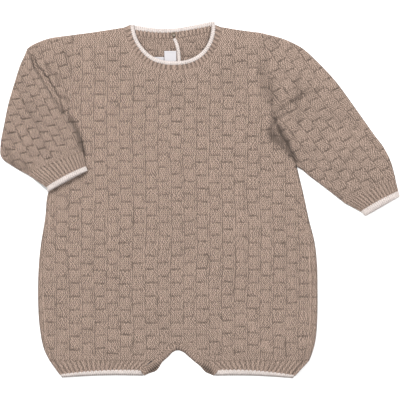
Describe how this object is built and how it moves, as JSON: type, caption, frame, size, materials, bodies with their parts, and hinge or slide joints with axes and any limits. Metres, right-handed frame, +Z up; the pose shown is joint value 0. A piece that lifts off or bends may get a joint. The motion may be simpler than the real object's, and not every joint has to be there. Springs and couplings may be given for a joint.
{
  "type": "knitted baby romper",
  "caption": "Long-sleeved knitted baby romper with short ribbed legs, laid flat with its front up and one sleeve turned down over its side.",
  "frame": {"origin": "centre of the part's box, on the surface that it lies on", "axes": "+Z up, away from the surface; +Y from the legs to the neck; +X to the picture's right, so the garment's own left sleeve lies at +X"},
  "size_m": [0.42, 0.3756, 0.0117],
  "materials": {
    "knit": "matt basket knit, taupe",
    "light_knit": "matt knitted edging, cream",
    "label_cloth": "woven satin, white",
    "button": "horn-coloured"
  },
  "bodies": {
    "root": {"back_panel": "knit", "front_panel": "knit", "front_neck_rib": "knit", "front_neck_tip": "light_knit", "back_neck_rib_left": "knit", "back_neck_tip_left": "light_knit", "back_neck_rib_right": "knit", "back_neck_tip_right": "light_knit", "front_leg_rib_left": "knit", "back_leg_rib_left": "knit", "front_leg_tip_left": "light_knit", "back_leg_tip_left": "light_knit", "front_leg_rib_right": "knit", "back_leg_rib_right": "knit", "front_leg_tip_right": "light_knit", "back_leg_tip_right": "light_knit", "front_inseam_band": "knit", "back_inseam_band": "knit", "sleeve_right": "knit", "cuff_right": "knit", "cuff_tip_right": "light_knit", "sleeve_left": "knit", "cuff_left": "knit", "cuff_tip_left": "light_knit", "placket_tip": "light_knit", "label_main": "label_cloth", "label_side": "label_cloth", "neck_button": "button"}
  },
  "joints": []
}
